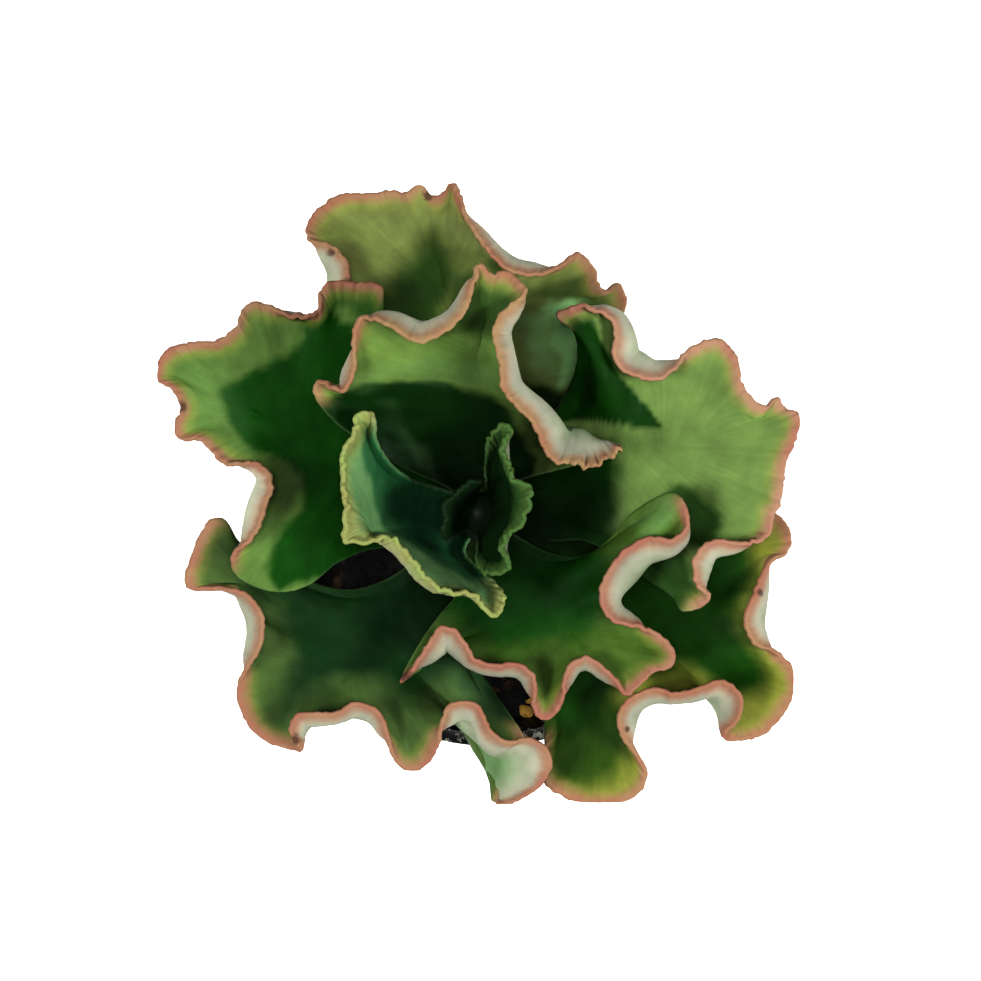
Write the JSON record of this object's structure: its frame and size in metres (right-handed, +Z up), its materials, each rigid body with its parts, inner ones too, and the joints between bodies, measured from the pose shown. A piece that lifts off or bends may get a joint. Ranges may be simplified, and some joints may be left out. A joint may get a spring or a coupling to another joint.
{
  "type": "potted succulent",
  "caption": "Round 10 cm black nursery pot of soil with an echeveria rosette of waved, crinkle-edged green leaves with coral-pink margins.",
  "frame": {"origin": "centre of the pot's base, on its underside", "axes": "+Z up along the pot's axis, +Y towards the side that the tall inner leaf leans to"},
  "size_m": [0.142, 0.1391, 0.1313],
  "materials": {
    "leaf": "satin waxy skin",
    "young_leaf": "satin waxy skin with a blue bloom",
    "stem": "satin",
    "soil": "matt and crumbly",
    "pot": "satin moulded plastic"
  },
  "bodies": {
    "root": {"pot": "pot", "soil": "soil", "stem": "stem", "leaf_north_outer": "leaf", "leaf_southeast_outer": "leaf", "leaf_southwest_outer": "leaf", "leaf_west": "leaf", "leaf_east": "leaf", "leaf_south": "leaf", "leaf_north_inner": "leaf", "leaf_west_inner": "young_leaf", "leaf_east_inner": "young_leaf", "heart_leaf_west": "young_leaf"}
  },
  "joints": []
}
